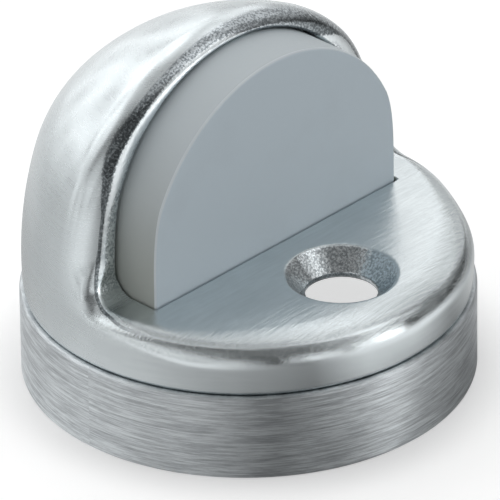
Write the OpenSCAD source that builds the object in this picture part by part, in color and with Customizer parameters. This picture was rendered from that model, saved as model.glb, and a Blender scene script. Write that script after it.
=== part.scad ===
// Dome door stop on a riser ring: a cast half-dome with a rubber bumper, screwed to the floor.
// Z is up and the floor is Z = 0. The bumper's striking face looks along -Y, the door comes from there.

/* [Riser ring] */
// Outside diameter of the ring, the widest part of the stop
ring_d = 47.6; // [46:0.1:56]
// Height of the ring
ring_h = 9.5; // [8:0.1:16]
// Radial thickness of the ring's wall
ring_wall = 4; // [2.5:0.1:4.5]
// Bevel round the ring's top outer edge
ring_bevel = 0.45; // [0.2:0.05:0.8]

/* [Cast body] */
// How much narrower the casting is than the ring, all round
ledge = 0.3; // [0.1:0.05:0.8]
// Height of the casting, from the ring to its crown
body_h = 29.8; // [29:0.1:34]
// Height of the flange in front, from the ring to its flat top
flange_h = 6.2; // [5:0.1:9]
// Thickness of the flange's flat top
flange_t = 2.8; // [2.4:0.1:4]
// Thickness of the casting's outer walls
wall = 2.8; // [2:0.1:3.2]
// How much larger the crown's ball radius is than the casting's own
crown_swell = 1.5; // [1:0.1:3]
// Radius of the gentle barrel shape of the side wall
side_r = 45; // [40:1:80]
// Height of the casting's widest point above the ring
waist_h = 3.5; // [2:0.1:5]
// Radius of the shoulder that leads from the side wall into the crown
shoulder_r = 16; // [10:0.5:20]
// Rounding under the casting's outer edge
foot_round = 0.6; // [0.2:0.05:0.8]

/* [Lip] */
// How far behind the casting's axis the lip's front lies, level with the ball's centre
lip_back = 1; // [0:0.1:2]
// Lean of the lip's front, away from the door
lip_rake = 2; // [0:0.2:5]
// Rounding of the lip and of the flange's rim
lip_round = 2.6; // [1:0.1:2.8]
// Hollow corner where the lip runs down into the flange
corner_round = 1.8; // [1:0.1:3]

/* [Bumper] */
// Width of the bumper's striking face
bumper_w = 36; // [32:0.1:36.4]
// Radius of the arch over the striking face
arch_r = 18.8; // [18.3:0.1:20]
// Height of the arch's top above the flange
bumper_h = 21.5; // [19:0.1:22]
// How far the striking face stands in front of the casting's axis
bumper_front = 4.2; // [3:0.1:5]
// Depth of the bumper, from its striking face to its back
bumper_t = 9.2; // [8:0.1:9.4]
// Width of the shoulder that holds the bumper up under the flange
shoulder = 1.2; // [0.8:0.1:1.6]
// Thickness of the shoulder
shoulder_t = 2.1; // [1.2:0.1:2.2]
// Gap round the bumper in its opening
bumper_gap = 0.2; // [0.1:0.05:0.3]

/* [Screw hole] */
// How far the screw stands in front of the casting's axis
screw_front = 13.3; // [12.5:0.1:13.6]
// Diameter of the screw hole
screw_d = 7.5; // [5:0.1:8]
// Diameter of the countersink at the flange's top
sink_d = 11.8; // [10:0.1:12]
// Full angle of the countersink
sink_angle = 90; // [82:1:100]

/* [Locating pin] */
// Diameter of the pin
pin_d = 3; // [2:0.1:4]
// How far the pin's axis stands inside the ring's outside
pin_inset = 6.4; // [5.8:0.1:7.3]
// How deep the pin is driven into the casting
pin_grip = 6.5; // [4:0.1:8]
// Height of the pin's end above the floor
pin_clear = 1.5; // [1:0.1:3]
// Radial clearance of the pin in the casting
pin_fit = 0.02; // [0.01:0.01:0.05]
// Radial clearance of the pin in the ring's lug
lug_fit = 0.2; // [0.1:0.05:0.3]
// Metal round the pin in the casting's boss and the ring's lug
boss_wall = 1.9; // [1.5:0.1:2.5]

// Height of the ring's lug above the floor
lug_lift = 1; // [0.5:0.1:2]

/* [Bulkhead] */
// Thickness of the wall that backs the bumper
bulkhead_t = 2.4; // [2:0.1:3]

/* [Hidden] */
$fn = 96;
eps = 0.01;
body_r = ring_d / 2 - ledge;
crown_r = body_r + crown_swell;
pin_back = ring_d / 2 - pin_inset;
flange_z = ring_h + flange_h;
flange_under = flange_z - flange_t;
waist_z = ring_h + waist_h;
crown_z = ring_h + body_h;
ball_z = crown_z - crown_r;
side_x = body_r - side_r;
crown_arm = crown_r - shoulder_r;
side_arm = side_r - shoulder_r;
centre_gap = norm([side_x, waist_z - ball_z]);
arm_along = (pow(crown_arm, 2) - pow(side_arm, 2) + pow(centre_gap, 2)) / (2 * centre_gap);
arm_across = sqrt(pow(crown_arm, 2) - pow(arm_along, 2));
shoulder_x = (arm_along * side_x + arm_across * (waist_z - ball_z)) / centre_gap;
shoulder_z = ball_z + (arm_along * (waist_z - ball_z) - arm_across * side_x) / centre_gap;
soft_r = shoulder_r + eps;
crown_end = atan2(shoulder_z - ball_z, shoulder_x);
side_end = atan2(shoulder_z - waist_z, shoulder_x - side_x);
cavity_r = body_r - wall;
arch_top = flange_z + bumper_h;
arch_z = arch_top - arch_r;
bumper_y = -bumper_front;
bulkhead_y = bumper_y + bumper_t;
core_y = bulkhead_y + bulkhead_t;
corner_z = flange_z + corner_round - eps;
corner_y = lip_back + (corner_z - ball_z) * tan(lip_rake) - corner_round + eps;
corner_x = body_r - ledge / 3;
foot_r = body_r - side_r + sqrt(pow(side_r, 2) - pow(waist_h - foot_round, 2));
sink_depth = (sink_d - screw_d) / 2 / tan(sink_angle / 2);
boss_r = pin_d / 2 + boss_wall;
boss_top = ring_h + pin_grip + boss_wall;
pin_bevel = pin_d / 10;
far = 2 * ring_d;

// The wedge, seen from the shoulder's centre, that the shoulder rounds off
module shoulder_wedge() {
    polygon([
        [0, 0],
        [ring_d * cos(side_end), ring_d * sin(side_end)],
        [ring_d * cos(crown_end), ring_d * sin(crown_end)]
    ]);
}

// Half profile of the casting's outside, with its curved faces moved in by inset
module half_profile(inset = 0, bottom = ring_h) {
    difference() {
        intersection() {
            translate([0, bottom]) square([body_r, crown_z - bottom]);
            translate([side_x, waist_z]) circle(side_r - inset);
            translate([0, ball_z]) circle(crown_r - inset);
        }
        translate([shoulder_x, shoulder_z]) difference() {
            shoulder_wedge();
            circle(soft_r - inset);
        }
    }
}

// A square corner at the origin less its rounding, to be cut from a profile
module corner_cut(r) {
    difference() {
        translate([-eps, -eps]) square(r + eps);
        translate([r, r]) circle(r);
    }
}

// Draws a flat shape in the XZ plane and gives it a depth from Y = y0 to Y = y1
module along_y(y0, y1) {
    translate([0, y1, 0]) rotate([90, 0, 0]) linear_extrude(y1 - y0) children();
}

// Keeps what lies behind the plane Y = y0
module behind(y0) {
    intersection() {
        children();
        translate([-far / 2, y0, -far / 2]) cube(far);
    }
}

// A disc of radius r that faces the door, its front at Y = 0 with a rounded edge
module puck(r) {
    rotate([-90, 0, 0]) rotate_extrude() difference() {
        square([r, far]);
        translate([r, 0]) mirror([1, 0]) corner_cut(lip_round);
    }
}

// What one shoulder of the lip takes off between the crown's arch and the side
module shoulder_waste() {
    translate([shoulder_x, 0, shoulder_z - ball_z]) difference() {
        along_y(-eps, ring_d) shoulder_wedge();
        puck(soft_r);
    }
}

// Everything behind the lip's leaning front: the arch of the crown, both shoulders and both sides
module behind_lip() {
    translate([0, lip_back, ball_z]) rotate([-lip_rake, 0, 0]) difference() {
        intersection() {
            puck(crown_r);
            translate([side_x, 0, waist_z - ball_z]) puck(side_r);
            translate([-side_x, 0, waist_z - ball_z]) puck(side_r);
        }
        shoulder_waste();
        mirror([1, 0, 0]) shoulder_waste();
    }
}

// The flange's disc, its flat top ending in the same rounding
module flange() {
    rotate_extrude() difference() {
        square([body_r, flange_z]);
        translate([body_r, flange_z]) rotate(180) corner_cut(lip_round);
    }
}

// The hollow corner that turns one side of the lip forward into the flange's rim
module lip_corner() {
    depth = 4 * lip_round;
    translate([0, corner_y, corner_z]) rotate([0, 90, 0]) rotate_extrude(angle = 90) difference() {
        translate([corner_round, 0]) square([depth, corner_x]);
        translate([corner_round, corner_x]) mirror([0, 1]) corner_cut(lip_round);
    }
}

// The casting before it is hollowed: one rounded lip runs over the arch and round the flange
module casting_form() {
    intersection() {
        rotate_extrude() difference() {
            half_profile();
            translate([foot_r, ring_h]) mirror([1, 0]) corner_cut(foot_round);
        }
        union() {
            flange();
            behind_lip();
            lip_corner();
            mirror([1, 0, 0]) lip_corner();
        }
    }
}

// Outline of the bumper's face, an arch over straight sides, grown by grow all round
module bumper_face(bottom, grow = 0) {
    intersection() {
        union() {
            translate([0, arch_z]) circle(arch_r + grow);
            translate([-arch_r, bottom]) square([2 * arch_r, arch_z - bottom]);
        }
        translate([-bumper_w / 2 - grow, bottom]) square([bumper_w + 2 * grow, far]);
    }
}

// Where the bumper comes out through the lip and the flange's top
module bumper_opening() {
    along_y(bumper_y - bumper_gap, bulkhead_y) bumper_face(flange_under - eps, bumper_gap);
}

// The hollow under the flange, in front of the bulkhead
module flange_hollow() {
    intersection() {
        cylinder(r = cavity_r, h = flange_under);
        translate([-far / 2, bulkhead_y - far, -eps]) cube(far);
    }
}

// The core behind the bulkhead, open at the bottom like the rest of the casting
module rear_core() {
    behind(core_y) rotate_extrude() half_profile(wall, 0);
}

module countersunk_hole() {
    translate([0, -screw_front, 0]) {
        cylinder(d = screw_d, h = flange_z);
        translate([0, 0, flange_z - sink_depth])
            cylinder(d1 = screw_d, d2 = sink_d + 2 * eps * tan(sink_angle / 2), h = sink_depth + eps);
    }
}

// A round post at the locating pin, from z0 to z1
module at_pin(r, z0, z1) {
    translate([0, pin_back, z0]) cylinder(r = r, h = z1 - z0);
}

module dome_body() {
    color("silver") difference() {
        union() {
            difference() {
                casting_form();
                bumper_opening();
                flange_hollow();
                rear_core();
            }
            at_pin(boss_r, ring_h, boss_top);
        }
        countersunk_hole();
        at_pin(pin_d / 2 + pin_fit, 0, ring_h + pin_grip);
    }
}

module rubber_bumper() {
    rest_z = flange_under - bumper_gap;
    color("slategray") {
        along_y(bumper_y, bulkhead_y) bumper_face(rest_z - eps);
        translate([0, 0, rest_z - shoulder_t]) linear_extrude(shoulder_t) intersection() {
            circle(cavity_r - bumper_gap);
            translate([-bumper_w / 2 - shoulder, bumper_y - shoulder])
                square([bumper_w + 2 * shoulder, bumper_t + shoulder]);
        }
    }
}

module riser_ring() {
    color("darkgray") difference() {
        union() {
            rotate_extrude() difference() {
                translate([ring_d / 2 - ring_wall, 0]) square([ring_wall, ring_h]);
                translate([ring_d / 2, ring_h]) rotate(45) square(ring_bevel * sqrt(2), center = true);
            }
            at_pin(boss_r, lug_lift, ring_h);
        }
        at_pin(pin_d / 2 + lug_fit, 0, ring_h + eps);
    }
}

module locating_pin() {
    color("dimgray") translate([0, pin_back, pin_clear]) rotate_extrude() difference() {
        square([pin_d / 2, ring_h + pin_grip - pin_clear]);
        translate([pin_d / 2, 0]) rotate(45) square(pin_bevel * sqrt(2), center = true);
    }
}

dome_body();
rubber_bumper();
riser_ring();
locating_pin();
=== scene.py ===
import math

import bmesh
import bpy
import numpy as np
from mathutils import Matrix, Vector


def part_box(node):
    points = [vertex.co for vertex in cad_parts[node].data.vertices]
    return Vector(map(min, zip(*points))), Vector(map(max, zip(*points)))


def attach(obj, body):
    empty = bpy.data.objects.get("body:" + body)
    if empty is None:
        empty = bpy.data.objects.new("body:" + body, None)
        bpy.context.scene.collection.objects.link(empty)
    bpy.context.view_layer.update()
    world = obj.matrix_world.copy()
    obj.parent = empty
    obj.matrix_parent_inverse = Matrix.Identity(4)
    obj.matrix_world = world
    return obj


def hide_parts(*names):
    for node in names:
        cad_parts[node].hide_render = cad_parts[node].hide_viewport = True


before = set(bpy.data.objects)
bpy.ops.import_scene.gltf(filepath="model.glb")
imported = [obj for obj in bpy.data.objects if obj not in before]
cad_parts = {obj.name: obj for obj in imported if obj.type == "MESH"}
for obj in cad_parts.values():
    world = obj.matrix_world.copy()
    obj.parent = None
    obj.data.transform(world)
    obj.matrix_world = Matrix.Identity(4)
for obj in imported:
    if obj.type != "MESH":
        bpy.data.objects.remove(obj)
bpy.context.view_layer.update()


mm = 0.001
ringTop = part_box("riser_ring")[1][2] / mm
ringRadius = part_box("riser_ring")[1][0] / mm
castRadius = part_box("dome_body")[1][0] / mm
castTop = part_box("dome_body")[1][2] / mm

# the casting, in millimetres
cast = {
    # outline: a ball, a shoulder and a long side arc
    "ballRadius": 25.0, "ballZ": 14.3, "sideRadius": 45.0, "sideZ": 13.0, "shoulderRadius": 16.0,
    # flange, and how its top drops towards the front rim
    "flangeZ": 15.7, "flangeUnder": 12.9, "cornerRound": 2.2, "footRound": 0.6,
    "sag": 0.011, "sagFrom": 15.5, "sagSide": 2.0, "sagFront": 12.0,
    # the lip's face, and the wall's roll towards it, deeper or shallower by height
    "lipBack": 1.0, "lipCrown": 1.5, "crownLow": 26.0, "crownHigh": 33.0,
    "rollHeights": (20, 22, 24.5, 27, 29, 31, 34), "rollDepths": (5.6, 5.5, 5.3, 5.2, 4.8, 4.4, 4.0),
    "rollLength": 4.8, "rollFrom": 5.3, "riseFrom": 14.6, "riseTo": 20.5,
    # rounding of the outer edge: the lip's nose, and the flange's rim from its sides to its front
    "nose": 0.5, "noseFrom": 15.0, "noseTo": 21.0,
    "rimSide": 1.6, "rimFront": 2.4, "rimFrom": 2.0, "rimTo": 14.0,
    # the bumper's opening, and how soft its edges are
    "openHalf": 18.2, "openArch": 19.0, "openArchZ": 18.4, "openFront": -4.4, "openFoot": 9.0,
    "lipEdge": 0.75, "crownEdge": 0.4, "slotEdge": 0.22, "softFrom": 16.2, "softTo": 18.5,
    # hollows below the flange and behind the bulkhead
    "wall": 2.8, "bulkheadY": 5.0, "coreY": 7.4, "coreRound": 0.8, "cavityRadius": 20.7,
    # screw hole and pin boss
    "screwY": -13.3, "screwRadius": 3.75, "sinkRadius": 5.9, "sinkEdge": 0.2, "sinkAbove": 1.0,
    "pinY": 17.4, "pinRadius": 1.52, "pinTop": 16.0, "bossRadius": 3.4, "bossTop": 17.9, "bossInside": 0.5,
    "grid": 0.25,
}
archRound = 1.2  # where an arch meets its straight sides


# distance helpers for rounded shapes, all in millimetres
def roundJoin(a, b, r):
    u = np.maximum(r - a, 0.0)
    v = np.maximum(r - b, 0.0)
    return np.maximum(r, np.minimum(a, b)) - np.sqrt(u * u + v * v)


def roundMeet(a, b, r):
    u = np.maximum(r + a, 0.0)
    v = np.maximum(r + b, 0.0)
    return np.minimum(-r, np.maximum(a, b)) + np.sqrt(u * u + v * v)


def smoothStep(t, low, high):
    s = np.clip((t - low) / (high - low), 0.0, 1.0)
    return s * s * (3.0 - 2.0 * s)


def outlineTable(c, inset):
    # the casting's half profile as distance from the ball's centre against elevation
    side = np.array([castRadius - c["sideRadius"], c["sideZ"]])
    ball = np.array([0.0, c["ballZ"]])
    along = side - ball
    gap = np.hypot(*along)
    ballArm = c["ballRadius"] - c["shoulderRadius"]
    sideArm = c["sideRadius"] - c["shoulderRadius"]
    a = (ballArm ** 2 - sideArm ** 2 + gap ** 2) / (2 * gap)
    h = math.sqrt(ballArm ** 2 - a * a)
    unit = along / gap
    shoulder = ball + a * unit + h * np.array([unit[1], -unit[0]])
    crownEnd = math.atan2(*(shoulder - ball)[::-1])
    sideEnd = math.atan2(*(shoulder - side)[::-1])
    parts = []
    for centre, radius, low, high in (
        (side, c["sideRadius"], -0.35, sideEnd),
        (shoulder, c["shoulderRadius"], sideEnd, crownEnd),
        (ball, c["ballRadius"], crownEnd, math.pi / 2),
    ):
        t = np.linspace(low, high, 900)
        parts.append(centre + (radius - inset) * np.stack([np.cos(t), np.sin(t)], 1))
    points = np.concatenate(parts) - ball
    angle = np.arctan2(points[:, 1], points[:, 0])
    reach = np.hypot(points[:, 0], points[:, 1])
    order = np.argsort(angle)
    angle, reach = angle[order], reach[order]
    grid = np.linspace(angle[0], math.pi / 2, 4000)
    reach = np.interp(grid, angle, reach)
    smooth = np.hanning(121)
    smooth /= smooth.sum()
    padded = np.concatenate([np.full(60, reach[0]), reach, reach[::-1][:60]])
    reach = np.convolve(padded, smooth, "valid")
    return grid, reach, np.gradient(reach, grid)


def revolved(table, c, p):
    grid, reach, slope = table
    r = np.hypot(p[:, 0], p[:, 1])
    z = p[:, 2] - c["ballZ"]
    angle = np.arctan2(z, r)
    radius = np.interp(angle, grid, reach)
    tilt = np.interp(angle, grid, slope) / radius
    return (np.hypot(r, z) - radius) / np.sqrt(1.0 + tilt * tilt)


castOuter = outlineTable(cast, 0.0)


def archShape(p, half, arch, archZ):
    # an arch over straight sides, seen along Y
    ball = np.hypot(p[:, 0], p[:, 2] - archZ) - arch
    ball = np.where(p[:, 2] < archZ, np.abs(p[:, 0]) - arch, ball)
    return roundMeet(ball, np.abs(p[:, 0]) - half, archRound)


def castBlank(p, c, outer):
    # the casting's outside with its lip and flange, before anything is cut out
    x, y, z = p[:, 0], p[:, 1], p[:, 2]
    # the wall rolls in towards the lip in one broad rounding, then the lip's face cuts it off
    rising = smoothStep(z, c["riseFrom"], c["riseTo"])
    deep = np.interp(z, c["rollHeights"], c["rollDepths"])
    long = c["rollLength"]
    rolled = roundMeet(outer / deep, (c["rollFrom"] - long - y) / long, 1.0) * deep
    wall = outer + (np.maximum(rolled, outer) - outer) * rising
    reach = np.maximum(np.hypot(x, y) - c["sagFrom"], 0.0)
    topZ = c["flangeZ"] - c["sag"] * reach * reach * smoothStep(-y, c["sagSide"], c["sagFront"])
    face = c["lipBack"] + (c["lipCrown"] - c["lipBack"]) * smoothStep(z, c["crownLow"], c["crownHigh"])
    front = roundJoin(z - topZ, face - y, c["cornerRound"])
    rim = c["rimSide"] + (c["rimFront"] - c["rimSide"]) * smoothStep(-y, c["rimFrom"], c["rimTo"])
    nose = rim + (c["nose"] - rim) * smoothStep(z, c["noseFrom"], c["noseTo"])
    edge = roundMeet(wall / nose, front / nose, 1.0) * nose
    return roundMeet(np.maximum(wall, edge), ringTop - z, c["footRound"])


def castDistance(p):
    c = cast
    x, y, z = p[:, 0], p[:, 1], p[:, 2]
    outer = revolved(castOuter, c, p)
    d = castBlank(p, c, outer)
    # the bumper's opening, soft where it breaks through the lip
    opening = archShape(p, c["openHalf"], c["openArch"], c["openArchZ"])
    opening = np.maximum(opening, np.maximum(y - c["bulkheadY"], c["openFront"] - y))
    opening = np.maximum(opening, c["openFoot"] - z)
    soften = c["slotEdge"] + (c["lipEdge"] - c["slotEdge"]) * smoothStep(z, c["softFrom"], c["softTo"])
    soften = soften + (c["crownEdge"] - c["lipEdge"]) * smoothStep(z, c["crownLow"], c["crownHigh"])
    d = roundMeet(d, -opening, soften)
    # hollow under the flange, and the core behind the bulkhead
    hollow = np.maximum(np.hypot(x, y) - c["cavityRadius"], z - c["flangeUnder"])
    hollow = np.maximum(hollow, y - c["bulkheadY"])
    d = np.maximum(d, -hollow)
    core = roundMeet(outer + c["wall"], c["coreY"] - y, c["coreRound"])
    d = np.maximum(d, -core)
    # the boss that grips the locating pin
    toPin = np.hypot(x, y - c["pinY"])
    boss = np.maximum(toPin - c["bossRadius"], np.maximum(z - c["bossTop"], ringTop - z))
    boss = np.maximum(boss, outer + c["bossInside"])
    d = np.minimum(d, boss)
    d = np.maximum(d, -np.maximum(toPin - c["pinRadius"], z - c["pinTop"]))
    # the countersunk hole
    toScrew = np.hypot(x, y - c["screwY"])
    cone = (toScrew - c["sinkRadius"] - (z - c["flangeZ"])) * math.sqrt(0.5)
    hole = np.minimum(toScrew - c["screwRadius"], cone)
    hole = np.maximum(hole, z - c["flangeZ"] - c["sinkAbove"])
    return roundMeet(d, -hole, c["sinkEdge"])


# the bumper, in millimetres
rubber = {
    "half": 18.0, "arch": 18.8, "archZ": 18.4, "front": -4.2, "back": 5.0, "edge": 0.35,
    # the shoulder that is caught under the flange
    "rest": 12.7, "overlap": 0.1, "shoulder": 1.2, "shoulderThick": 2.1, "shoulderReach": 20.5,
    "shoulderRound": 0.2,
    "grid": 0.2,
}


def rubberDistance(p):
    c = rubber
    x, y, z = p[:, 0], p[:, 1], p[:, 2]
    shape = archShape(p, c["half"], c["arch"], c["archZ"])
    depth = np.maximum(c["front"] - y, y - c["back"])
    face = roundMeet(shape, depth, c["edge"])
    face = np.maximum(face, c["rest"] - c["overlap"] - z)
    rim = np.hypot(x, y) - c["shoulderReach"]
    rim = np.maximum(rim, np.abs(x) - c["half"] - c["shoulder"])
    rim = np.maximum(rim, np.maximum(c["front"] - c["shoulder"] - y, y - c["back"]))
    rim = roundMeet(rim, np.maximum(z - c["rest"], c["rest"] - c["shoulderThick"] - z), c["shoulderRound"])
    return np.minimum(face, rim)


# how a distance becomes a mesh; the probes are in millimetres, the offset and the move in grid steps
meshing = {
    "offset": 0.137, "turns": 4, "longestMove": 0.3, "leastSlope": 0.25,
    "probe": 0.02, "normalProbe": 0.03, "tiny": 1e-9,
}


def gradient(distance, p, probe):
    out = np.empty_like(p)
    for i in range(3):
        shift = np.zeros(3)
        shift[i] = probe
        out[:, i] = (distance(p + shift) - distance(p - shift)) / (2 * probe)
    return out


def gridValues(distance, axes):
    values = np.empty([len(a) for a in axes], np.float32)
    yy, zz = np.meshgrid(axes[1], axes[2], indexing="ij")
    for i, x in enumerate(axes[0]):
        p = np.stack([np.full(yy.size, x), yy.ravel(), zz.ravel()], 1)
        values[i] = distance(p).reshape(yy.shape)
    return values


def netPoints(values, inside, cells):
    # one point in each grid cell the surface passes through, at the mean of its edge crossings
    corners = [(i, j, k) for i in (0, 1) for j in (0, 1) for k in (0, 1)]
    count = np.zeros(cells, np.int8)
    for i, j, k in corners:
        count += inside[i:i + cells[0], j:j + cells[1], k:k + cells[2]]
    active = np.argwhere((count > 0) & (count < len(corners)))
    total = np.zeros((len(active), 3))
    hits = np.zeros(len(active))
    for a in corners:
        for axis in range(3):
            if a[axis]:
                continue
            along = np.eye(3, dtype=int)[axis]
            va = values[tuple((active + a).T)].astype(float)
            vb = values[tuple((active + a + along).T)].astype(float)
            cross = (va < 0) != (vb < 0)
            t = np.where(cross, va / np.where(cross, va - vb, 1.0), 0.0)
            total[cross] += (np.array(a, float) + np.outer(t, along))[cross]
            hits[cross] += 1
    return active, active + total / hits[:, None]


def netQuads(inside, index, cells):
    # one quad round each grid edge that the surface crosses
    quads = []
    for axis, (u, v) in enumerate(((1, 2), (2, 0), (0, 1))):
        a = np.take(inside, range(cells[axis]), axis)
        b = np.take(inside, range(1, cells[axis] + 1), axis)
        edge = np.argwhere(a != b)
        edge = edge[(edge[:, u] > 0) & (edge[:, v] > 0)]
        edge = edge[(edge[:, u] < cells[u]) & (edge[:, v] < cells[v])]
        flip = inside[tuple(edge.T)]
        loop = []
        for du, dv in ((1, 1), (0, 1), (0, 0), (1, 0)):
            cell = edge.copy()
            cell[:, u] -= du
            cell[:, v] -= dv
            loop.append(index[tuple(cell.T)])
        loop = np.stack(loop, 1)
        loop[~flip] = loop[~flip][:, ::-1]
        quads.append(loop)
    return np.concatenate(quads)


def addPiece(name, mesh):
    piece = bpy.data.objects.new(name, mesh)
    bpy.context.scene.collection.objects.link(piece)
    return piece


def netMesh(name, distance, low, high, step):
    c = meshing
    axes = [np.arange(low[i] - 2 * step, high[i] + 3 * step, step) + c["offset"] * step for i in range(3)]
    values = gridValues(distance, axes)
    inside = values < 0
    cells = [len(a) - 1 for a in axes]
    active, places = netPoints(values, inside, cells)
    index = np.full(cells, -1, np.int64)
    index[tuple(active.T)] = np.arange(len(active))
    points = np.array([a[0] for a in axes]) + step * places
    for turn in range(c["turns"]):  # each turn draws the points closer onto the surface
        slope = gradient(distance, points, c["probe"])
        off = distance(points) / np.maximum((slope * slope).sum(1), c["leastSlope"])
        move = -off[:, None] * slope
        size = np.maximum(np.linalg.norm(move, axis=1, keepdims=True), c["tiny"])
        points = points + move * np.minimum(1.0, c["longestMove"] * step / size)
    quads = netQuads(inside, index, cells)
    mesh = bpy.data.meshes.new(name)
    mesh.vertices.add(len(points))
    mesh.vertices.foreach_set("co", (points * mm).astype(np.float32).ravel())
    mesh.loops.add(quads.size)
    mesh.loops.foreach_set("vertex_index", quads.astype(np.int32).ravel())
    mesh.polygons.add(len(quads))
    mesh.polygons.foreach_set("loop_start", np.arange(0, quads.size, 4, dtype=np.int32))
    mesh.update(calc_edges=True)
    mesh.validate()
    mesh.polygons.foreach_set("use_smooth", np.ones(len(mesh.polygons), bool))
    normals = gradient(distance, points, c["normalProbe"])
    normals /= np.maximum(np.linalg.norm(normals, axis=1, keepdims=True), c["tiny"])
    mesh.normals_split_custom_set_from_vertices(normals.tolist())
    print("stage:", name, len(points), "vertices")
    return addPiece(name, mesh)


# where the casting is polished, grainy or brushed, in millimetres; the depths are in from its wall
finish = {
    # the polish stops at a seam along the lip, and a ridge follows it; the seam's colour is as-cast grain
    # darkened with painted shade, and the ridge carries a painted highlight
    "polishHeights": (
        15.2, 15.7, 16.2, 17.3, 18.5, 19.8, 21.4, 23.1, 25.1, 27.7, 29.7, 31, 32.7, 33.8, 36.9, 38, 39,
    ),
    "polishDepths": (
        1.2, 1.25, 1.47, 1.7, 1.83, 2.04, 2.13, 2.02, 1.9, 1.3, 0.78, 0.54, 0.47, 0.55, 0.55, 0.47, 0.33,
    ),
    "ridgeHeights": (15.4, 15.9, 16.8, 18.1, 19.6, 21.3, 25, 27.6, 29.4, 31.2, 32.7, 34.5, 36.6, 39),
    "ridgeDepths": (0.5, 0.6, 0.58, 0.70, 0.72, 0.58, 0.5, 1.08, 1.32, 1.38, 1.43, 1.07, 0.85, 1.05),
    "frontShift": 0.65, "frontTo": 4.0,
    # the right of the crown is polished further over and has a wider ridge, so its painted highlight spreads
    # wider
    "rightFrom": -2.0, "rightTo": 9.0, "crownFrom": 31.0, "crownTo": 35.0,
    "rightPolish": 0.6, "rightRidge": 3.0,
    "acrossLow": -2.0, "acrossHigh": 6.0,
    # heights, and places along Y, between which each finish fades
    "lipFrom": 14.4, "lipTo": 15.1, "upperFrom": 15.9, "upperTo": 17.2, "backFrom": 4.8, "backTo": 5.2,
    "fadeFrom": 1.0, "fadeTo": 7.0, "topFrom": 12.6, "topTo": 14.4, "faceFrom": -0.5, "faceTo": 1.2,
    # distances round the screw hole
    "screwFrom": 7.5, "screwTo": 9.0, "sinkOutside": 0.05, "sinkInside": 0.2,
}


def markFinish(piece, c, f):
    # how grainy and how cross-brushed the casting is, kept on its vertices
    mesh = piece.data
    p = np.empty(len(mesh.vertices) * 3, np.float32)
    mesh.vertices.foreach_get("co", p)
    p = p.reshape(-1, 3).astype(float) / mm
    x, y, z = p[:, 0], p[:, 1], p[:, 2]
    depth = -revolved(castOuter, c, p)
    # 0 where the polish stops, 1 on the lip's ridge, where a highlight is painted
    begin = np.interp(z, f["polishHeights"], f["polishDepths"])
    width = np.interp(z, f["ridgeHeights"], f["ridgeDepths"])
    begin = begin - f["frontShift"] * smoothStep(-y, 0.0, f["frontTo"])
    rightCrown = smoothStep(x, f["rightFrom"], f["rightTo"]) * smoothStep(z, f["crownFrom"], f["crownTo"])
    begin = begin * (1 - f["rightPolish"] * rightCrown)
    width = width * (1 + f["rightRidge"] * rightCrown)
    across = np.clip((depth - begin) / width, f["acrossLow"], f["acrossHigh"])
    toScrew = np.hypot(x, y - c["screwY"])
    inFront = 1 - smoothStep(y, f["backFrom"], f["backTo"])
    onLip = smoothStep(z, f["lipFrom"], f["lipTo"]) * inFront
    onLip = onLip * smoothStep(toScrew, f["screwFrom"], f["screwTo"])
    across = np.where(onLip > 0.5, across, f["acrossLow"])
    sinkFrom, sinkTo = -c["sinkRadius"] - f["sinkOutside"], -c["sinkRadius"] + f["sinkInside"]
    sink = smoothStep(-toScrew, sinkFrom, sinkTo)
    upper = smoothStep(z, f["upperFrom"], f["upperTo"]) * inFront
    top = smoothStep(z, f["topFrom"], f["topTo"]) * (1 - smoothStep(y, f["faceFrom"], f["faceTo"]))
    marks = {
        "lipAcross": across,
        "lipFade": 1 - smoothStep(-y, f["fadeFrom"], f["fadeTo"]),
        "lipUpper": upper,
        "sinkGrain": sink,
        "crossBrushed": top * (1 - upper) * (1 - sink),
    }
    for name, values in marks.items():
        layer = mesh.attributes.new(name, "FLOAT", "POINT")
        layer.data.foreach_set("value", values.astype(np.float32))


castLow = (-castRadius, -castRadius, ringTop)
castHigh = (castRadius, castRadius, castTop)
casting = netMesh("cast_dome", castDistance, castLow, castHigh, cast["grid"])
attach(casting, "root")
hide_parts("dome_body")
markFinish(casting, cast, finish)

rubberWide = rubber["half"] + rubber["shoulder"]
rubberLow = (-rubberWide, rubber["front"] - rubber["shoulder"], rubber["rest"] - rubber["shoulderThick"])
rubberHigh = (rubberWide, rubber["back"], rubber["archZ"] + rubber["arch"])
bumper = netMesh("rubber_face", rubberDistance, rubberLow, rubberHigh, rubber["grid"])
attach(bumper, "root")
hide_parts("rubber_bumper")

# the ring, in millimetres; the bevel's curve is in shares of the bevel, in from the wall and down
ring = {
    "wall": 4.0, "bevel": 0.3, "footBevel": 0.25, "innerBevel": 0.3, "around": 480,
    "bevelCurve": ((0, 1), (0.12, 0.7), (0.4, 0.28), (0.75, 0.06), (1, 0)), "footCurve": 0.3,
    "hold": 0.2, "topHold": 0.3, "sharpAngle": 32,
    "lugRadius": 3.4, "lugHole": 1.7, "lugLow": 1.0, "lugGap": 0.02, "lugAround": 96,
}


def revolve(bm, profile, around, centreY=0.0):
    # a closed profile of radius and height, turned about an upright axis
    rows = []
    for i in range(around):
        t = 2 * math.pi * i / around
        row = []
        for r, z in profile:
            row.append(bm.verts.new((r * math.cos(t) * mm, (centreY + r * math.sin(t)) * mm, z * mm)))
        rows.append(row)
    for i, here in enumerate(rows):
        there = rows[(i + 1) % around]
        for j in range(len(profile)):
            k = (j + 1) % len(profile)
            face = bm.faces.new((here[j], there[j], there[k], here[k]))
            face.smooth = True


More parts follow.
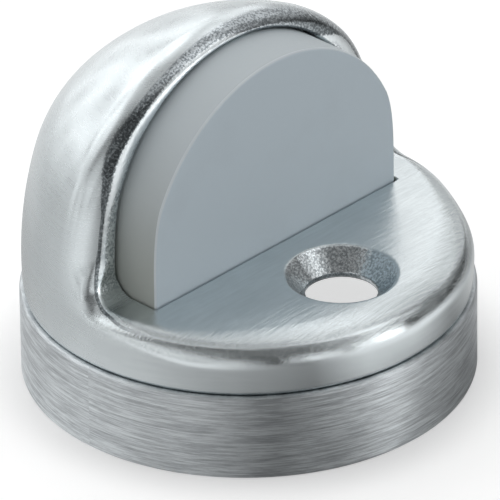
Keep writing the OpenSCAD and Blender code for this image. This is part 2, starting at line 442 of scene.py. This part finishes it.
def turnedRing(name, c):
    # plain wall, a fine bevel and softened edges
    outer, inner, top = ringRadius, ringRadius - c["wall"], ringTop
    b, f, n, hold = c["bevel"], c["footBevel"], c["innerBevel"], c["hold"]
    profile = [
        (inner + n, 0.0), (outer - f, 0.0), (outer - f * c["footCurve"], f * c["footCurve"]),
        (outer, f), (outer, f + hold), (outer, top * 0.5), (outer, top - b - hold),
    ]
    profile += [(outer - b * aside, top - b * down) for aside, down in c["bevelCurve"]]
    profile += [(outer - b - c["topHold"], top), (inner + n, top), (inner, top - n), (inner, n)]
    bm = bmesh.new()
    revolve(bm, profile, c["around"])
    # the lug round the locating pin, sunk a little into the wall
    low, high, hole, wide = c["lugLow"], top - c["lugGap"], c["lugHole"], c["lugRadius"]
    revolve(bm, [(hole, low), (wide, low), (wide, high), (hole, high)], c["lugAround"], cast["pinY"])
    bmesh.ops.recalc_face_normals(bm, faces=bm.faces)
    mesh = bpy.data.meshes.new(name)
    bm.to_mesh(mesh)
    bm.free()
    mesh.set_sharp_from_angle(angle=math.radians(c["sharpAngle"]))
    return addPiece(name, mesh)


riser = turnedRing("turned_ring", ring)
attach(riser, "root")
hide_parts("riser_ring")
print("stage: ring turned")


# node helpers
def link(tree, a, b):
    tree.links.new(a, b)


def setInput(tree, socket, value):
    # another node's socket is linked, and a plain value is set on the socket itself
    if hasattr(value, "is_linked"):
        tree.links.new(value, socket)
    else:
        socket.default_value = value


def newMaterial(name):
    material = bpy.data.materials.new(name)
    material.use_nodes = True
    tree = material.node_tree
    tree.nodes.clear()
    return material, tree


def closeMaterial(tree, shader):
    output = tree.nodes.new("ShaderNodeOutputMaterial")
    link(tree, shader.outputs[0], output.inputs["Surface"])


def mathNode(tree, operation, a, b=None, c=None, clamp=False):
    made = tree.nodes.new("ShaderNodeMath")
    made.operation = operation
    made.use_clamp = clamp
    for i, value in enumerate((a, b, c)):
        if value is not None:
            setInput(tree, made.inputs[i], value)
    return made.outputs[0]


def rampNode(tree, value, low, high, outLow=0.0, outHigh=1.0, smooth=True):
    made = tree.nodes.new("ShaderNodeMapRange")
    made.interpolation_type = "SMOOTHSTEP" if smooth else "LINEAR"
    link(tree, value, made.inputs["Value"])
    made.inputs["From Min"].default_value = low
    made.inputs["From Max"].default_value = high
    made.inputs["To Min"].default_value = outLow
    made.inputs["To Max"].default_value = outHigh
    return made.outputs["Result"]


def scaledNoise(tree, vector, scale, detail=3.0, rough=0.55):
    # the scale is one number, or three for a noise drawn out along an axis
    mapping = tree.nodes.new("ShaderNodeMapping")
    mapping.inputs["Scale"].default_value = scale if isinstance(scale, tuple) else (scale, scale, scale)
    link(tree, vector, mapping.inputs["Vector"])
    noise = tree.nodes.new("ShaderNodeTexNoise")
    noise.inputs["Scale"].default_value = 1.0
    noise.inputs["Detail"].default_value = detail
    noise.inputs["Roughness"].default_value = rough
    link(tree, mapping.outputs["Vector"], noise.inputs["Vector"])
    return noise.outputs["Fac"]


# where the mix node keeps its two values and its result, for each kind of value
mixSockets = {"FLOAT": (2, 3, 0), "VECTOR": (4, 5, 1), "RGBA": (6, 7, 2)}


def mixNode(tree, kind, factor, a, b):
    made = tree.nodes.new("ShaderNodeMix")
    made.data_type = kind
    first, second, result = mixSockets[kind]
    for place, value in ((0, factor), (first, a), (second, b)):
        setInput(tree, made.inputs[place], value)
    return made.outputs[result]


def mixValue(tree, factor, a, b):
    return mixNode(tree, "FLOAT", factor, a, b)


def mixColour(tree, factor, a, b):
    return mixNode(tree, "RGBA", factor, a, b)


def bumpNode(tree, height, strength, distance, under=None):
    made = tree.nodes.new("ShaderNodeBump")
    made.inputs["Distance"].default_value = distance
    link(tree, height, made.inputs["Height"])
    setInput(tree, made.inputs["Strength"], strength)
    if under is not None:
        link(tree, under, made.inputs["Normal"])
    return made.outputs["Normal"]


def tableNode(tree, name):
    made = tree.nodes.new("ShaderNodeAttribute")
    made.attribute_name = name
    return made.outputs["Fac"]


def objectPlace(tree):
    place = tree.nodes.new("ShaderNodeTexCoord").outputs["Object"]
    parts = tree.nodes.new("ShaderNodeSeparateXYZ")
    link(tree, place, parts.inputs[0])
    return place, parts.outputs


def roundAxis(tree, parts, radius):
    # the surface unrolled: how far round the axis, and how high
    angle = mathNode(tree, "ARCTAN2", parts["Y"], parts["X"])
    wrapped = tree.nodes.new("ShaderNodeCombineXYZ")
    link(tree, mathNode(tree, "MULTIPLY", angle, radius * mm), wrapped.inputs[0])
    link(tree, parts["Z"], wrapped.inputs[2])
    return wrapped.outputs[0]


def metalShader(tree):
    shader = tree.nodes.new("ShaderNodeBsdfPrincipled")
    shader.inputs["Metallic"].default_value = 1.0
    return shader


# the casting's finish; ranges are the noise levels between which one colour gives way to the next
satin = {
    "light": (0.73, 0.782, 0.798, 1), "dark": (0.69, 0.74, 0.757, 1),
    "scratch": (0.40, 0.45, 0.47, 1), "streak": 0.25,
    "pit": (0.40, 0.44, 0.46, 1), "spark": (0.82, 0.87, 0.89, 1),
    # seam colours: as-cast grain darkened with painted shade, lighter over the crown; ridge colour: a painted
    # highlight
    "castSeamAndShade": (0.15, 0.17, 0.18, 1), "seamLight": (0.40, 0.44, 0.46, 1), "ridgeHighlight": (0.92, 0.98, 1.0, 1),
    "crownSeamDark": (0.26, 0.29, 0.31, 1), "crownSeamLight": (0.66, 0.71, 0.74, 1),
    "rough": 0.28, "brushRough": 0.21, "grainRough": 0.25, "ridgeRough": 0.32, "roughSpread": 0.025,
    "stretch": 0.5, "brushStretch": 0.75, "sinkStretch": 0.6,
    "softBump": 0.02, "brushBump": 0.5, "grainBump": 0.2, "scratchDepth": 0.00008, "grainDepth": 0.00018,
    "brushScale": (260, 3600, 3600), "softScale": (170, 1, 2400),
    "grainScale": 4200, "pitScale": 1900, "cloudScale": 120,
    "cloudRange": (0.35, 0.65), "softRange": (0.35, 0.65), "softLevels": (0.42, 0.6),
    "brushRange": (0.32, 0.68), "pitRange": (0.38, 0.62), "seamRange": (0.42, 0.66), "crownSeamRange": (0.36, 0.6),
    "roughRange": (0.3, 0.7),
    # the lip's bands, from 0 where the polish stops to 1 on its ridge, ragged by the speckle
    "speckle": 0.3, "seamOpens": (-0.04, 0.08), "seamCloses": (0.55, 0.75),
    "ridgeOpens": (0.6, 0.8), "ridgeCloses": (1.1, 1.6),
    # in metres: the front is smoother, and over the crown the seam's painted shade is lighter
    "frontal": (0.002, -0.007), "crown": (0.0335, 0.0375),
}


def lipBands(tree, c, grain):
    # a dark band where the polish stops, as-cast grain darkened with painted shade, then a ridge with a
    # painted highlight
    offCentre = mathNode(tree, "SUBTRACT", grain, 0.5)
    speckled = mathNode(tree, "MULTIPLY_ADD", offCentre, c["speckle"], tableNode(tree, "lipAcross"))
    fade = tableNode(tree, "lipFade")
    opened = rampNode(tree, speckled, *c["seamOpens"])
    castSeamAndShade = mathNode(tree, "MULTIPLY", opened, rampNode(tree, speckled, *c["seamCloses"], 1.0, 0.0))
    ridgeHighlight = rampNode(tree, speckled, *c["ridgeOpens"])
    ridgeHighlight = mathNode(tree, "MULTIPLY", ridgeHighlight, rampNode(tree, speckled, *c["ridgeCloses"], 1.0, 0.0))
    return opened, mathNode(tree, "MULTIPLY", castSeamAndShade, fade), mathNode(tree, "MULTIPLY", ridgeHighlight, fade)


def scratchedNormal(tree, c, across, coarse, soft, brush, pitted):
    smooth = mathNode(tree, "SUBTRACT", 1.0, coarse)
    brushShare = mathNode(tree, "MULTIPLY", across, smooth)
    softShare = mathNode(tree, "MULTIPLY", mathNode(tree, "SUBTRACT", 1.0, across), smooth)
    layers = (
        (soft, softShare, c["softBump"], c["scratchDepth"]),
        (brush, brushShare, c["brushBump"], c["scratchDepth"]),
        (pitted, coarse, c["grainBump"], c["grainDepth"]),
    )
    normal = None
    for height, share, strength, depth in layers:
        normal = bumpNode(tree, height, mathNode(tree, "MULTIPLY", share, strength), depth, normal)
    return normal


def scratchDirection(tree, across):
    # the shine spreads across the scratches: up the dome, and across the flange's straight brushing
    geometry = tree.nodes.new("ShaderNodeNewGeometry")
    crossed = tree.nodes.new("ShaderNodeVectorMath")
    crossed.operation = "CROSS_PRODUCT"
    link(tree, geometry.outputs["Normal"], crossed.inputs[0])
    crossed.inputs[1].default_value = (1, 0, 0)
    return mixNode(tree, "VECTOR", across, (0, 0, 1), crossed.outputs[0])


def castMaterial(c):
    material, tree = newMaterial("satin_casting")
    place, parts = objectPlace(tree)
    across = tableNode(tree, "crossBrushed")
    sink = tableNode(tree, "sinkGrain")
    # satin scratches run along the bumper's face on the flange and round the dome
    wrapped = roundAxis(tree, parts, castRadius)
    brush = scaledNoise(tree, place, c["brushScale"], rough=0.7)
    soft = scaledNoise(tree, wrapped, c["softScale"], rough=0.65)
    grain = scaledNoise(tree, place, c["grainScale"], detail=2.0, rough=0.6)
    pitted = scaledNoise(tree, place, c["pitScale"], detail=2.0, rough=0.5)
    cloudy = scaledNoise(tree, place, c["cloudScale"])
    opened, castSeamAndShade, ridgeHighlight = lipBands(tree, c, grain)
    coarse = mathNode(tree, "MAXIMUM", mathNode(tree, "MULTIPLY", opened, tableNode(tree, "lipUpper")), sink)
    # colour: clouds and scratches, then the grain, the seam's painted shade and the ridge's painted highlight
    # over them
    tone = mixColour(tree, rampNode(tree, cloudy, *c["cloudRange"]), c["dark"], c["light"])
    softStreaks = rampNode(tree, soft, *c["softRange"], *c["softLevels"])
    streaks = mixValue(tree, across, softStreaks, rampNode(tree, brush, *c["brushRange"]))
    tone = mixColour(tree, streaks, mixColour(tree, c["streak"], tone, c["scratch"]), tone)
    pits = mixColour(tree, rampNode(tree, grain, *c["pitRange"]), c["pit"], c["spark"])
    tone = mixColour(tree, coarse, tone, pits)
    # the seam: as-cast grain darkened with painted shade, lighter over the crown
    castSeamAndShadeTone = mixColour(tree, rampNode(tree, grain, *c["seamRange"]), c["castSeamAndShade"], c["seamLight"])
    crownSeamTone = mixColour(tree, rampNode(tree, grain, *c["crownSeamRange"]), c["crownSeamDark"], c["crownSeamLight"])
    castSeamAndShadeTone = mixColour(tree, rampNode(tree, parts["Z"], *c["crown"]), castSeamAndShadeTone, crownSeamTone)
    tone = mixColour(tree, castSeamAndShade, tone, castSeamAndShadeTone)
    # the ridge: a painted highlight in near white
    tone = mixColour(tree, ridgeHighlight, tone, c["ridgeHighlight"])
    # roughness, and how far it is drawn out by the brushing
    spread = c["roughSpread"]
    rough = rampNode(tree, mixValue(tree, across, soft, brush), *c["roughRange"], -spread, spread)
    frontal = rampNode(tree, parts["Y"], *c["frontal"])
    rough = mathNode(tree, "ADD", rough, mixValue(tree, frontal, c["rough"], c["brushRough"]))
    rough = mixValue(tree, coarse, rough, c["grainRough"])
    rough = mixValue(tree, ridgeHighlight, rough, c["ridgeRough"])
    stretch = mixValue(tree, coarse, mixValue(tree, across, c["stretch"], c["brushStretch"]), 0.0)
    stretch = mixValue(tree, sink, stretch, c["sinkStretch"])
    shader = metalShader(tree)
    link(tree, tone, shader.inputs["Base Color"])
    link(tree, rough, shader.inputs["Roughness"])
    link(tree, stretch, shader.inputs["Anisotropic"])
    link(tree, scratchDirection(tree, across), shader.inputs["Tangent"])
    link(tree, scratchedNormal(tree, c, across, coarse, soft, brush, pitted), shader.inputs["Normal"])
    closeMaterial(tree, shader)
    return material


casting.data.materials.append(castMaterial(satin))

brushed = {
    "light": (0.80, 0.845, 0.865, 1), "dark": (0.38, 0.405, 0.425, 1), "toneRange": (0.36, 0.64),
    "rough": 0.38, "smoother": 0.05, "rougher": 0.08, "roughRange": (0.3, 0.7), "stretch": 0.95,
    "scratch": 0.6, "scratchDepth": 0.00004,
    "streakScale": (300, 1, 7000), "bandScale": (120, 1, 2600), "streakShare": 0.6, "bandShare": 0.4,
}


def ringMaterial(c):
    material, tree = newMaterial("brushed_ring")
    parts = objectPlace(tree)[1]
    # unrolled, so that the brushing follows the wall
    wrapped = roundAxis(tree, parts, ringRadius)
    streak = scaledNoise(tree, wrapped, c["streakScale"], detail=4.0, rough=0.75)
    band = scaledNoise(tree, wrapped, c["bandScale"], rough=0.6)
    bands = mathNode(tree, "MULTIPLY", band, c["bandShare"])
    shade = mathNode(tree, "MULTIPLY_ADD", streak, c["streakShare"], bands)
    tone = mixColour(tree, rampNode(tree, shade, *c["toneRange"]), c["dark"], c["light"])
    low, high = c["rough"] - c["smoother"], c["rough"] + c["rougher"]
    upward = tree.nodes.new("ShaderNodeCombineXYZ")
    upward.inputs[2].default_value = 1.0
    shader = metalShader(tree)
    shader.inputs["Anisotropic"].default_value = c["stretch"]
    link(tree, upward.outputs[0], shader.inputs["Tangent"])
    link(tree, tone, shader.inputs["Base Color"])
    link(tree, rampNode(tree, streak, *c["roughRange"], low, high), shader.inputs["Roughness"])
    link(tree, bumpNode(tree, shade, c["scratch"], c["scratchDepth"]), shader.inputs["Normal"])
    closeMaterial(tree, shader)
    return material


riser.data.materials.append(ringMaterial(brushed))

grey = {
    # face and edge are the same rubber as the side, coloured lighter where they face the front: painted light
    # on the face and a painted highlight along the rounded edge
    "face": (0.68, 0.785, 0.855, 1), "edge": (0.78, 0.85, 0.89, 1),
    "side": (0.54, 0.60, 0.63, 1), "low": (0.44, 0.47, 0.44, 1), "mottled": (0.3, 0.33, 0.35, 1),
    "lowTo": 0.016, "sideFrom": 0.034,  # heights on the moulded side, in metres
    "edgeHighlightFacing": (-0.12, -0.35), "litFaceFacing": (-0.75, -0.95),  # how squarely a surface faces the front
    "mottle": 0.24, "rough": 0.5, "roughSpread": 0.06, "roughRange": (0.3, 0.7), "grit": 0.12,
    "gritDepth": 0.00003, "cloudScale": 160, "gritScale": 2600,
}


def rubberMaterial(c):
    material, tree = newMaterial("grey_rubber")
    place, parts = objectPlace(tree)
    facing = tree.nodes.new("ShaderNodeSeparateXYZ")
    link(tree, tree.nodes.new("ShaderNodeNewGeometry").outputs["Normal"], facing.inputs[0])
    cloudy = scaledNoise(tree, place, c["cloudScale"], detail=4.0)
    fine = scaledNoise(tree, place, c["gritScale"], detail=2.0)
    # the moulded side is darker towards its bottom
    side = mixColour(tree, rampNode(tree, parts["Z"], c["lowTo"], c["sideFrom"]), c["low"], c["side"])
    # painted highlight: the rounded front edge is coloured lighter
    tone = mixColour(tree, rampNode(tree, facing.outputs["Y"], *c["edgeHighlightFacing"]), side, c["edge"])
    # painted light: the face towards the front is coloured lighter than the side
    tone = mixColour(tree, rampNode(tree, facing.outputs["Y"], *c["litFaceFacing"]), tone, c["face"])
    offCentre = mathNode(tree, "SUBTRACT", cloudy, 0.5)
    shade = mathNode(tree, "MULTIPLY_ADD", offCentre, c["mottle"], 1.0)
    tone = mixColour(tree, mathNode(tree, "SUBTRACT", 1.0, shade, clamp=True), tone, c["mottled"])
    low, high = c["rough"] - c["roughSpread"], c["rough"] + c["roughSpread"]
    shader = tree.nodes.new("ShaderNodeBsdfPrincipled")
    link(tree, tone, shader.inputs["Base Color"])
    link(tree, rampNode(tree, fine, *c["roughRange"], low, high), shader.inputs["Roughness"])
    link(tree, bumpNode(tree, fine, c["grit"], c["gritDepth"]), shader.inputs["Normal"])
    closeMaterial(tree, shader)
    return material


bumper.data.materials.append(rubberMaterial(grey))

pin = {
    "dark": (0.36, 0.36, 0.37, 1), "light": (0.5, 0.5, 0.51, 1), "scale": (900, 900, 300),
    "roughRange": (0.3, 0.7), "roughLevels": (0.3, 0.45),
}


def pinMaterial(c):
    material, tree = newMaterial("plain_pin_steel")
    place = tree.nodes.new("ShaderNodeTexCoord").outputs["Object"]
    noise = scaledNoise(tree, place, c["scale"], detail=4.0)
    shader = metalShader(tree)
    link(tree, mixColour(tree, noise, c["dark"], c["light"]), shader.inputs["Base Color"])
    link(tree, rampNode(tree, noise, *c["roughRange"], *c["roughLevels"]), shader.inputs["Roughness"])
    closeMaterial(tree, shader)
    return material


pinLook = pinMaterial(pin)
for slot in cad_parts["locating_pin"].material_slots:
    slot.material = pinLook
print("stage: materials")

# floor, in metres: white to the camera with its soft shadow kept; the metal mirrors it as a paper sweep
# that is brighter on some sides, given every 22.5 degrees round the part at three distances; these
# levels come from a least squares fit that was made outside this script, not by hand
floorLook = {
    "half": 2.0, "glow": 0.56, "seen": 0.66, "tone": 0.42, "mirrored": 0.06,
    # painted shadow: the paper is darker round the ring's base; painted light: the paper inside the ring is
    # brighter
    "footShadow": 0.64, "footFrom": 0.0225, "footTo": 0.030,
    "inside": 0.3, "insideFrom": 0.0205, "insideTo": 0.0195,
    "sides": 16, "distances": (0.030, 0.045, 0.065),
    "near": (
        0.73, 0.51, 0.24, 0.11, 0.49, 0.22, 0.14, 0.53, 0.56, 0.57, 0.56, 0.53, 0.49, 0.47, 0.61, 0.74,
    ),
    "middle": (
        0.54, 0.41, 0.33, 0.28, 0.85, 1.00, 0.44, 0.60, 0.57, 0.61, 0.61, 0.57, 0.48, 0.51, 0.56, 0.60,
    ),
    "far": (
        0.97, 1.00, 0.48, 0.16, 0.92, 1.00, 1.00, 0.44, 0.30, 0.83, 0.84, 0.83, 0.67, 0.55, 0.65, 0.74,
    ),
}


def sweepRamp(tree, turn, sides, levels):
    ramp = tree.nodes.new("ShaderNodeValToRGB")
    stops = ramp.color_ramp.elements
    for i in range(1, sides):
        stops.new(i / sides)
    for i, stop in enumerate(stops):
        stop.position = i / sides
        level = levels[i % sides]
        stop.color = (level, level, level, 1)
    link(tree, turn, ramp.inputs[0])
    return ramp.outputs[0]


def mirroredLevel(tree, c, parts, outward):
    # how bright the metal sees the floor, by direction and distance
    turn = mathNode(tree, "ARCTAN2", parts["Y"], parts["X"])
    turn = mathNode(tree, "MULTIPLY_ADD", turn, 0.5 / math.pi, 0.5)
    near, middle, far = (sweepRamp(tree, turn, c["sides"], c[key]) for key in ("near", "middle", "far"))
    nearEnd, middleEnd, farEnd = c["distances"]
    level = mixColour(tree, rampNode(tree, outward, nearEnd, middleEnd, smooth=False), near, middle)
    return mixColour(tree, rampNode(tree, outward, middleEnd, farEnd, smooth=False), level, far)


def floorMaterial(c):
    material, tree = newMaterial("floor_white")
    place, parts = objectPlace(tree)
    length = tree.nodes.new("ShaderNodeVectorMath")
    length.operation = "LENGTH"
    link(tree, place, length.inputs[0])
    outward = length.outputs["Value"]
    path = tree.nodes.new("ShaderNodeLightPath")
    seen, mirrored = path.outputs["Is Camera Ray"], path.outputs["Is Glossy Ray"]
    tone = mathNode(tree, "MULTIPLY_ADD", seen, c["seen"] - c["tone"], c["tone"])
    tone = mathNode(tree, "MULTIPLY_ADD", mirrored, c["mirrored"] - c["tone"], tone)
    paper = tree.nodes.new("ShaderNodeCombineColor")
    for socket in paper.inputs:
        link(tree, tone, socket)
    diffuse = tree.nodes.new("ShaderNodeBsdfDiffuse")
    link(tree, paper.outputs[0], diffuse.inputs["Color"])
    # a painted contact shadow deepens the real shadow round the ring's base; painted light brightens the
    # paper inside the ring
    footShadow = rampNode(tree, outward, c["footFrom"], c["footTo"], c["footShadow"], 1.0)
    inside = rampNode(tree, outward, c["insideFrom"], c["insideTo"], 0.0, c["inside"])
    lit = mathNode(tree, "ADD", mathNode(tree, "MULTIPLY", footShadow, c["glow"]), inside)
    glow = tree.nodes.new("ShaderNodeEmission")
    link(tree, mathNode(tree, "MULTIPLY", seen, lit), glow.inputs["Strength"])
    shine = tree.nodes.new("ShaderNodeEmission")
    link(tree, mirroredLevel(tree, c, parts, outward), shine.inputs["Color"])
    link(tree, mirrored, shine.inputs["Strength"])
    total = diffuse
    for light in (glow, shine):
        both = tree.nodes.new("ShaderNodeAddShader")
        link(tree, total.outputs[0], both.inputs[0])
        link(tree, light.outputs[0], both.inputs[1])
        total = both
    closeMaterial(tree, total)
    return material


half = floorLook["half"]
floorMesh = bpy.data.meshes.new("floor")
floorCorners = [(-half, -half, 0), (half, -half, 0), (half, half, 0), (-half, half, 0)]
floorMesh.from_pydata(floorCorners, [], [(0, 1, 2, 3)])
floor = addPiece("floor", floorMesh)
floor.data.materials.append(floorMaterial(floorLook))

# camera: 46 degrees round to the left of the bumper's front, 31 degrees up, aimed a third of the way
# up the part; the reach, the aim and the clipping are in metres, the lens and the sensor in millimetres
shot = {
    "around": -46.0, "up": 31.04, "roll": 0.8, "reach": 1.0, "lens": 689.76, "sensor": 36.0,
    "aside": 0.00007, "lift": 0.01135, "nearest": 0.05, "furthest": 20.0,
}


def wayFrom(around, up):
    # the direction from the part towards something, given by its angles in radians
    return Vector((math.sin(around) * math.cos(up), -math.cos(around) * math.cos(up), math.sin(up)))


around, up, roll = (math.radians(shot[key]) for key in ("around", "up", "roll"))
back = wayFrom(around, up)
right = Vector((math.cos(around), math.sin(around), 0.0))
top = back.cross(right)
rolledRight = right * math.cos(roll) - top * math.sin(roll)
rolledTop = top * math.cos(roll) + right * math.sin(roll)
place = back * shot["reach"]
away = (place - rolledRight * shot["aside"] - rolledTop * shot["lift"]).normalized()
level = (rolledRight - away * rolledRight.dot(away)).normalized()
upright = away.cross(level)
data = bpy.data.cameras.new("camera")
data.sensor_width = shot["sensor"]
data.lens = shot["lens"]
data.clip_start, data.clip_end = shot["nearest"], shot["furthest"]
camera = bpy.data.objects.new("camera", data)
camera.matrix_world = Matrix((
    (level.x, upright.x, away.x, place.x),
    (level.y, upright.y, away.y, place.y),
    (level.z, upright.z, away.z, place.z),
    (0, 0, 0, 1),
))
bpy.context.scene.collection.objects.link(camera)
bpy.context.scene.camera = camera

# lights, each given by degrees up, degrees to the right as seen from the camera, and watts; the watts
# come from a least squares fit that was made outside this script, not by hand
lamps = [
    (8, 0, 0.069),
    (8, 24, 0.106),
    (8, 36, 0.149),
    (8, 48, 0.067),
    (8, 60, 0.181),
    (8, 72, 0.338),
    (8, 96, 0.021),
    (8, 144, 0.024),
    (8, 156, 0.071),
    (8, 168, 0.057),
    (8, 180, 0.041),
    (8, 192, 0.100),
    (8, 204, 0.140),
    (8, 216, 0.138),
    (8, 228, 0.111),
    (8, 240, 0.110),
    (8, 252, 0.082),
    (8, 264, 0.071),
    (8, 276, 0.131),
    (8, 288, 0.068),
    (8, 300, 0.121),
    (8, 312, 0.055),
    (8, 324, 0.085),
    (8, 336, 0.071),
    (8, 348, 0.099),
    (26, 60, 0.068),
    (26, 108, 0.050),
    (26, 132, 0.072),
    (26, 156, 0.068),
    (26, 180, 0.242),
    (26, 204, 0.100),
    (26, 228, 0.158),
    (26, 252, 0.142),
    (26, 276, 0.085),
    (26, 300, 0.053),
    (26, 324, 0.149),
    (44, 0, 0.042),
    (44, 30, 0.037),
    (44, 60, 0.081),
    (44, 90, 0.188),
    (44, 150, 0.163),
    (44, 180, 0.095),
    (44, 210, 0.336),
    (44, 240, 0.219),
    (44, 270, 0.251),
    (44, 300, 0.025),
    (44, 330, 0.061),
    (62, 45, 0.020),
    (62, 90, 0.256),
    (62, 135, 0.075),
    (62, 180, 0.232),
    (62, 225, 0.088),
    (62, 270, 0.159),
    (82, 0, 0.164),
]

# low lamps are upright strips, the others are round; distance and sizes are in metres
panel = {"distance": 0.6, "size": 0.34, "strip": 0.15, "stripBelow": 10}
for rise, turn, watts in lamps:
    name = f"panel_{rise}_{turn}"
    lamp = bpy.data.lights.new(name, "AREA")
    if rise > panel["stripBelow"]:
        lamp.shape = "DISK"
        lamp.size = panel["size"]
    else:
        lamp.shape = "RECTANGLE"
        lamp.size = panel["strip"]
        lamp.size_y = panel["size"]
    lamp.energy = watts
    holder = addPiece(name, lamp)
    way = wayFrom(math.radians(shot["around"] + turn), math.radians(rise))
    holder.location = way * panel["distance"]
    holder.rotation_euler = way.to_track_quat("Z", "Y").to_euler()

# the world is white where the camera sees past the floor, and gives no light
world = bpy.data.worlds.new("studio")
bpy.context.scene.world = world
world.use_nodes = True
sky = world.node_tree
backdrop = sky.nodes["Background"]
backdrop.inputs["Color"].default_value = (1, 1, 1, 1)
sight = sky.nodes.new("ShaderNodeLightPath")
link(sky, sight.outputs["Is Camera Ray"], backdrop.inputs["Strength"])
bpy.context.scene.view_settings.view_transform = "Standard"
print("stage: lights and camera")
